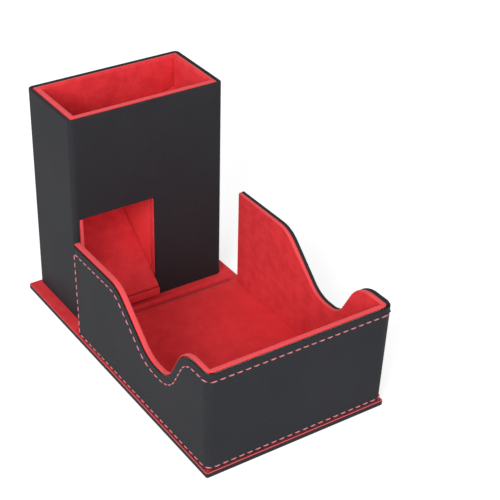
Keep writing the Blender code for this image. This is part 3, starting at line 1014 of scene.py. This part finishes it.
def rim_line(inset, rear_y, front_y):
    """Rim of a side wall in side view, from rear to front, drawn down into the wall by the inset."""
    length = WALL_HIGH.y - WALL_LOW.y
    dip_z = FOOT_Z + (RIM_Z - FOOT_Z) * RIM_DIP_SHARE
    places = [WALL_HIGH.y - share * length for share in RIM_LENGTH_SHARES]
    corners = [Vector(spot) for spot in zip(places, (RIM_Z, dip_z, dip_z, RIM_Z))]
    route = [Vector((WALL_HIGH.y, RIM_Z)), *corners, Vector((WALL_LOW.y, RIM_Z))]
    drawn, radii = [Vector((rear_y, RIM_Z - inset))], []
    for before, corner, after, radius in zip(route, corners, route[2:], RIM_RADII):
        way_in, way_out = (corner - before).normalized(), (after - corner).normalized()
        left_in, left_out = Vector((-way_in.y, way_in.x)), Vector((-way_out.y, way_out.x))
        drawn.append(corner + (left_in + left_out) * inset / (1 + left_in.dot(left_out)))
        radii.append(radius - math.copysign(inset, way_in.cross(way_out)))
    drawn.append(Vector((front_y, RIM_Z - inset)))
    path = [drawn[0]]
    for before, corner, after, radius in zip(drawn, drawn[1:], drawn[2:], radii):
        path += fillet(before, corner, after, radius)
    return path + [drawn[-1]]


def rim_solid(name, inset, rear_y, far_z):
    """Solid across the whole tray between the rim line and a height above or below it."""
    front_y = WALL_LOW.y - OVERRUN
    outline = rim_line(inset, rear_y, front_y) + [Vector((front_y, far_z)), Vector((rear_y, far_z))]
    return new_profile(name, outline, WALL_LOW.x - OVERRUN, WALL_HIGH.x + OVERRUN)


def rim_cutter(inset):
    return rim_solid("rim_cutter", inset, WALL_HIGH.y + EXCESS + OVERRUN, RIM_Z + EXCESS)


def lean_at(spot):
    """How far the covers of the tray walls lean out at a spot, more towards the rim and the outer face."""
    upward = (spot.z - FOOT_Z) / (RIM_Z - FOOT_Z)
    along = (WALL_HIGH.y - spot.y) / (WALL_HIGH.y - WALL_LOW.y)
    side = (abs(spot.x) + LEFT_HIGH.x) / (WALL_HIGH.x - LEATHER_T + LEFT_HIGH.x)
    front = (FRONT_HIGH.y - spot.y) / (FRONT_HIGH.y - WALL_LOW.y - LEATHER_T)
    upward, along, side, front = (min(max(share, 0), 1) for share in (upward, along, side, front))
    rear_lean, front_lean = LEAN_LEFT if spot.x < 0 else LEAN_RIGHT
    lean = rear_lean + (front_lean - rear_lean) * along
    return Vector((math.copysign(lean * side, spot.x), -LEAN_FRONT * front, 0)) * upward


def lean_out(thing):
    for corner in thing.data.vertices:
        corner.co += lean_at(corner.co)


def press(thing, test, depth):
    """Push the picked corners into the wall."""
    pick_corners(thing, test)
    bpy.ops.transform.shrink_fatten(value=-depth)
    closed()


def wall_wrap():
    """Leatherette round the three walls, hemmed and pressed in along its stitch lines."""
    low = Vector((WALL_LOW.x + HEM_ROLL, WALL_LOW.y + HEM_ROLL, WALL_LOW.z - EXCESS))
    high = Vector((WALL_HIGH.x - HEM_ROLL, WALL_HIGH.y + EXCESS, RIM_Z + OVERRUN))
    wrap = new_block("tray_wall_wrap", low, high)

    def is_front_corner(start, end):
        return is_upright(start, end) and same(start.y, low.y)

    round_folds(wrap, is_front_corner, TRAY_CORNER_R - HEM_ROLL, CORNER_STEPS)
    cut_away(wrap, rim_cutter(RIM_DROP))
    drop_faces(wrap, lambda middle, normal: abs(normal.z) > HARDLY or normal.y > LARGELY)
    pick_all(wrap)
    seam = ((SEAM_SLOPE - SEAM_HALF, -SEAM_DEPTH), (2 * SEAM_HALF, 0), (SEAM_SLOPE - SEAM_HALF, SEAM_DEPTH))
    for width, depth in (*HEM_STEPS, *seam, (SEAM_EDGE - SEAM_SLOPE, 0)):
        bpy.ops.mesh.inset(use_boundary=True, use_even_offset=True, thickness=width, depth=depth)
    closed()
    slice_at(wrap, Z, FOOT_Z, drop_side=-1)
    slice_at(wrap, Y, WALL_HIGH.y, drop_side=1)
    for offset in (HEM_STEPS[0][0], HEM_STEPS[1][0]):
        slice_at(wrap, Z, FOOT_Z + offset)
        slice_at(wrap, Y, WALL_HIGH.y - offset)
    for offset in (-SEAM_EDGE, -SEAM_SLOPE, -SEAM_HALF, SEAM_HALF, SEAM_SLOPE, SEAM_EDGE):
        slice_at(wrap, Z, FOOT_Z + FOOT_SEAM + offset)
        slice_at(wrap, Y, WALL_HIGH.y - REAR_SEAM + offset)
    press(wrap, lambda spot: abs(spot.z - FOOT_Z - FOOT_SEAM) < SEAM_HALF + TINY, SEAM_DEPTH)
    press(wrap, lambda spot: abs(spot.y - WALL_HIGH.y + REAR_SEAM) < SEAM_HALF + TINY, SEAM_DEPTH)
    press(wrap, lambda spot: same(spot.z, FOOT_Z), HEM_ROLL)
    press(wrap, lambda spot: same(spot.y, WALL_HIGH.y), HEM_ROLL)
    lean_out(wrap)
    thicken(wrap, LEATHER_T)
    smooth(wrap)
    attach(dress(wrap, LEATHER, "leatherette", "tray_wall_skin"), "tray")


def walls_block(name, left, right, front, rear, low_z, high_z):
    """Block at a distance inside each side of the tray wrap, with the same kind of rounded front corners."""
    low = (WALL_LOW.x + left, WALL_LOW.y + front, low_z)
    high = (WALL_HIGH.x - right, WALL_HIGH.y + rear, high_z)
    block = new_block(name, low, high)
    for place, inset in ((low[0], left), (high[0], right)):

        def is_front_corner(start, end):
            return is_upright(start, end) and same(start.x, place) and same(start.y, low[1])

        round_folds(block, is_front_corner, TRAY_CORNER_R - inset, CORNER_STEPS)
    return block


def inside_edging(name, rear, low_z, high_z):
    """Block that fills the tray as far out as its wrap, and on the right as far as the turned leather edge."""
    inset = LEATHER_T + SLIP
    return walls_block(name, inset, inset + EDGING_T, inset, rear, low_z, high_z)


def rim_edging():
    """Leather edge turned over beside the velvet, along the rim and down the rear end of the right wall."""
    inset = LEATHER_T + SLIP
    strip = walls_block("right_rim_edging", inset, inset, inset, -EDGING_GAP, FOOT_Z, RIM_Z + OVERRUN)
    cut_off(strip, (WALL_HIGH.x - EDGING_REACH, 0, 0), (-1, 0, 0))
    foot = rim_solid("edging_foot", EDGING_DEPTH, WALL_HIGH.y - EDGING_DEPTH, FOOT_Z - OVERRUN)
    room = inside_edging("edging_inside", OVERRUN, FOOT_Z - OVERRUN, RIM_Z + 2 * OVERRUN)
    cut_away(strip, room, rim_cutter(-EDGING_RISE), foot)
    top = rim_reach(-EDGING_RISE)
    round_folds(strip, lambda start, end: top(start) < TINY and top(end) < TINY, EDGING_R, FINE_STEPS)
    lean_out(strip)
    smooth(strip)
    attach(dress(strip, LEATHER, "leatherette"), "tray")


def tray_lining():
    """Velvet of the three walls: one frame folded over the rim, parted on the mitres of its panels."""
    left_low, left_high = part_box("wall_lining_left")
    right_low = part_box("wall_lining_right")[0]
    front_high = FRONT_HIGH
    rear_y = left_high.y
    inset = LEATHER_T + SLIP
    lining = inside_edging("tray_lining", rear_y - WALL_HIGH.y, FOOT_Z, RIM_Z + OVERRUN)
    room = new_block(
        "tray_room",
        (left_high.x, front_high.y, left_low.z - OVERRUN), (right_low.x, rear_y + OVERRUN, RIM_Z + 2 * OVERRUN),
    )
    cut_away(lining, room, rim_cutter(-CROWN_RISE))
    near_rim = rim_reach(-CROWN_RISE)

    def is_rim(start, end):
        upright = same(start.x, end.x) and same(start.y, rear_y) and same(end.y, rear_y)
        return upright or near_rim(start) < TINY and near_rim(end) < TINY

    round_folds(lining, is_rim, CROWN_R, EDGE_STEPS)
    corner_y = WALL_LOW.y + TRAY_CORNER_R

    def is_hidden(middle, normal):
        outside = middle.y < corner_y or abs(normal.x) > SQUARE
        away = normal.x * middle.x > 0 and abs(normal.x) > PARTLY or normal.y < -PARTLY
        at_wrap = abs(middle.x) > WALL_HIGH.x - TRAY_CORNER_R or middle.y < WALL_LOW.y + inset + TINY
        return outside and away and at_wrap and abs(normal.z) < PLUMB or normal.z < -SQUARE

    drop_faces(lining, is_hidden)

    def is_front_lining(middle, normal):
        return normal.y > LARGELY and middle.y < corner_y

    def is_side_lining(middle, normal):
        return abs(normal.x) > LARGELY

    for place in (left_high.x + CREASE_WIDTH, right_low.x - CREASE_WIDTH):
        slice_at(lining, X, place, is_front_lining)
    slice_at(lining, Y, front_high.y + CREASE_WIDTH, is_side_lining)
    thicken(lining, WALL_VELVET_T)

    centre = Vector((WALL_LOW.x + TRAY_CORNER_R, WALL_LOW.y + TRAY_CORNER_R))

    def to_wrap(spot):
        """Distance from the wrap at the left and the front."""
        if spot.x < centre.x and spot.y < centre.y:
            return TRAY_CORNER_R - (spot.xy - centre).length
        return min(spot.x - WALL_LOW.x, spot.y - WALL_LOW.y)

    # Painted shade down the front inner corners and where the crown dips beside the wrap; painted highlight on the
    # crown
    def share_at(spot):
        if same(spot.y, front_high.y) and same(abs(spot.x), right_low.x):
            return -ease((RIM_Z - spot.z) / (2 * LINER_FOLD_R))
        drop = near_rim(spot)
        if to_wrap(spot) < inset + CROWN_R / 2:
            return highlight_over_shade(drop, CROWN_R)
        return ease(1 - drop / CROWN_R)

    panels = {"left": [], "right": [], "front": []}
    for side, across, way in (("left", left_high.x, -1), ("right", right_low.x, 1)):
        corner = Vector((across, front_high.y, 0))
        panels[side] = [(Vector(), Vector((-way, 0, 0))), (corner, Vector((-way, -MITRE_SLOPE, 0)))]
        panels["front"].append((corner, Vector((way, MITRE_SLOPE, 0))))
    for side, cuts in panels.items():
        panel = part_of(lining, "wall_lining_" + side + "_velvet", cuts)
        finish_lining(panel, "wall_lining_" + side, "tray", share_at)
        lean_out(panel)
    discard(lining)


def rim_reach(inset):
    """Measure of how far a spot lies from the rim line, seen from the side."""
    line = rim_line(inset, WALL_HIGH.y, WALL_LOW.y)
    runs = [(start, end - start) for start, end in zip(line, line[1:]) if (end - start).length > TINY]

    def reach(spot):
        here = Vector((spot.y, spot.z))
        return min(
            (here - start - run * min(max((here - start).dot(run) / run.length_squared, 0), 1)).length
            for start, run in runs
        )

    return reach


# Stitching

def stitch():
    """One stitch: a short arched thread whose ends go down into the cover."""
    deselect()
    bpy.ops.mesh.primitive_cylinder_add(
        vertices=STITCH_SIDES, radius=THREAD_R, depth=STITCH_LENGTH, rotation=(0, math.pi / 2, 0),
    )
    piece = bpy.context.object
    settle()
    bends = [share for share, width, drop in STITCH_ARCH[1:]]
    for share in [-bend for bend in bends] + bends[::-1]:
        slice_at(piece, X, share * STITCH_LENGTH)
    for share, width, drop in STITCH_ARCH:
        for side in (-1, 1):
            place = side * share * STITCH_LENGTH
            pick_corners(piece, lambda spot: same(spot.x, place))
            bpy.ops.transform.resize(value=(1, width, width), center_override=(place, 0, 0))
            bpy.ops.transform.translate(value=(0, 0, -drop * THREAD_R))
            closed()
    # Painted shade on the ends, where the thread goes down into the cover
    mark(piece, "thread_shade", lambda spot: ease((abs(spot.x) / STITCH_LENGTH - STITCH_BARE) / (0.5 - STITCH_BARE)))
    return piece


def walked(path, pitch, lead):
    """Points at equal steps along a path, each with the way that it runs there."""
    lengths = [0.0]
    for start, end in zip(path, path[1:]):
        lengths.append(lengths[-1] + (end - start).length)
    count = math.floor((lengths[-1] - 2 * lead) / pitch)
    first = (lengths[-1] - count * pitch) / 2
    spots = []
    for number in range(count + 1):
        reach = first + number * pitch
        index = max(i for i, length in enumerate(lengths[:-1]) if length <= reach)
        start, end = path[index], path[index + 1]
        way = (end - start).normalized()
        spots.append((start + way * (reach - lengths[index]), way))
    return spots


def corner_arc(side, height):
    """Points round a front corner of the tray wrap, from its side to its front."""
    centre = Vector((side * (WALL_HIGH.x - TRAY_CORNER_R), WALL_LOW.y + TRAY_CORNER_R, height))
    points = []
    for step in range(CORNER_STEPS + 1):
        angle = math.pi / 2 * step / CORNER_STEPS
        points.append(centre + Vector((side * math.cos(angle), -math.sin(angle), 0)) * TRAY_CORNER_R)
    return points


def round_front(left, right, height):
    """Stitch line along the left wall, round the front, and back along the right wall."""
    return left + corner_arc(-1, height) + corner_arc(1, height)[::-1] + right


def seam_row(rim_inset):
    """Stitch line along the rim from the left rear round the front to the right rear."""
    line = rim_line(rim_inset, WALL_HIGH.y - REAR_SEAM, WALL_LOW.y + TRAY_CORNER_R)
    left = [Vector((WALL_LOW.x, along, height)) for along, height in line]
    right = [Vector((WALL_HIGH.x, along, height)) for along, height in reversed(line)]
    return round_front(left, right, RIM_Z - rim_inset)


def foot_row():
    height = FOOT_Z + FOOT_SEAM
    rear = WALL_HIGH.y - REAR_SEAM
    left = [Vector((WALL_LOW.x, rear, height))]
    right = [Vector((WALL_HIGH.x, rear, height))]
    return round_front(left, right, height)


def rear_row(side):
    along = WALL_HIGH.y - REAR_SEAM
    return [
        Vector((side * WALL_HIGH.x, along, RIM_Z - RIM_SEAM - RIM_DROP)),
        Vector((side * WALL_HIGH.x, along, FOOT_Z + FOOT_SEAM)),
    ]


def outward(spot):
    """Way out of the tray wrap at a spot on it."""
    centre_y = WALL_LOW.y + TRAY_CORNER_R
    centre_x = WALL_HIGH.x - TRAY_CORNER_R
    side = math.copysign(1, spot.x)
    if spot.y > centre_y:
        return Vector((side, 0, 0))
    if abs(spot.x) < centre_x:
        return Vector((0, -1, 0))
    return Vector((spot.x - side * centre_x, spot.y - centre_y, 0)).normalized()


def stitching():
    """All the rows of stitches on the tray wrap, as one piece."""
    model = stitch()
    rows = [seam_row(RIM_SEAM + RIM_DROP), foot_row(), rear_row(-1), rear_row(1)]
    copies = []
    for row in rows:
        clean = [row[0]] + [after for before, after in zip(row, row[1:]) if (after - before).length > TINY]
        for spot, way in walked(clean, STITCH_PITCH, STITCH_LENGTH / 2):
            out = outward(spot)
            beside = out.cross(way)
            copy = twin(model)
            turn = Matrix((way, beside, out)).transposed().to_4x4()
            copy.matrix_world = Matrix.Translation(spot + out * (THREAD_R - SEAM_DEPTH)) @ turn
            copies.append(copy)
    discard(model)
    deselect()
    for copy in copies:
        copy.select_set(True)
    bpy.context.view_layer.objects.active = copies[0]
    bpy.ops.object.join()
    thing = bpy.context.object
    thing.name = "tray_stitching"
    settle()
    lean_out(thing)
    bpy.ops.object.shade_smooth_by_angle(angle=SMOOTH_ANGLE)
    paint(thing, THREAD)
    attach(thing, "tray")


# Studio

def studio_floor():
    """Pale floor that shows white and keeps the shadow."""
    deselect()
    bpy.ops.mesh.primitive_plane_add(size=FLOOR_SIZE, location=(0, 0, -FLOOR_DROP))
    floor = bpy.context.object
    floor.name = "studio_floor"
    finish, tree = new_finish("studio_floor")
    tree.nodes.remove(tree.nodes["Principled BSDF"])
    colour = add_node(tree, "ShaderNodeBsdfDiffuse")
    set_sockets(colour, {"Color": FLOOR_PAINT})
    glow = add_node(tree, "ShaderNodeEmission")
    light = add_node(tree, "ShaderNodeLightPath")
    seen = reckon(tree, "MAXIMUM", light.outputs["Is Camera Ray"], light.outputs["Is Glossy Ray"])
    seen = reckon(tree, "MAXIMUM", seen, light.outputs["Is Transmission Ray"])
    tree.links.new(reckon(tree, "MULTIPLY", seen, FLOOR_GLOW), glow.inputs["Strength"])
    both = add_node(tree, "ShaderNodeAddShader")
    tree.links.new(colour.outputs[0], both.inputs[0])
    tree.links.new(glow.outputs[0], both.inputs[1])
    tree.links.new(both.outputs[0], tree.nodes["Material Output"].inputs["Surface"])
    floor.data.materials.append(finish)


def studio_light():
    """Plain world, and wide soft lamps on the left and in front."""
    world = bpy.data.worlds.new("studio")
    world.use_nodes = True
    tree = world.node_tree
    sky = tree.nodes["Background"]
    seen = add_node(tree, "ShaderNodeLightPath").outputs["Is Camera Ray"]
    level = reckon(tree, "ADD", reckon(tree, "MULTIPLY", seen, SKY_SHOWN), SKY_LIGHT)
    tree.links.new(level, sky.inputs["Strength"])
    set_sockets(sky, {"Color": (1, 1, 1, 1)})
    bpy.context.scene.world = world
    for name, spot, size, energy in LAMPS:
        lamp = bpy.data.lights.new(name, "AREA")
        lamp.shape = "DISK"
        lamp.size = size
        lamp.energy = energy
        holder = bpy.data.objects.new(name, lamp)
        bpy.context.scene.collection.objects.link(holder)
        holder.location = spot
        holder.rotation_euler = (Vector(LAMP_AIM) - holder.location).to_track_quat("-Z", "Y").to_euler()


def photo_camera():
    """Camera at the photo's place, turned, tilted and rolled as there."""
    lens = bpy.data.cameras.new("photo_camera")
    lens.lens = CAMERA_LENS
    lens.sensor_width = SENSOR
    lens.clip_start, lens.clip_end = CAMERA_CLIP
    camera = bpy.data.objects.new("photo_camera", lens)
    bpy.context.scene.collection.objects.link(camera)
    back = Vector((
        math.sin(CAMERA_TURN) * math.cos(CAMERA_TILT),
        -math.cos(CAMERA_TURN) * math.cos(CAMERA_TILT),
        math.sin(CAMERA_TILT),
    ))
    right = back.cross(Vector((0, 0, -1))).normalized()
    up = back.cross(right)
    across = right * math.cos(CAMERA_ROLL) + up * math.sin(CAMERA_ROLL)
    upward = up * math.cos(CAMERA_ROLL) - right * math.sin(CAMERA_ROLL)
    aim = Matrix((across, upward, back)).transposed().to_4x4()
    camera.matrix_world = Matrix.Translation(CAMERA_SPOT) @ aim
    bpy.context.scene.camera = camera
    bpy.context.scene.view_settings.view_transform = "Standard"


base_cover()
base_velvet()
tower_wrap()
shaft_lining()
divider()
exit_ramp()
upper_baffle()
wall_wrap()
tray_lining()
rim_edging()
stitching()
for name, board in frame["nodes"].items():
    if "board" in name:
        paint(board, GREYBOARD)
studio_floor()
studio_light()
photo_camera()
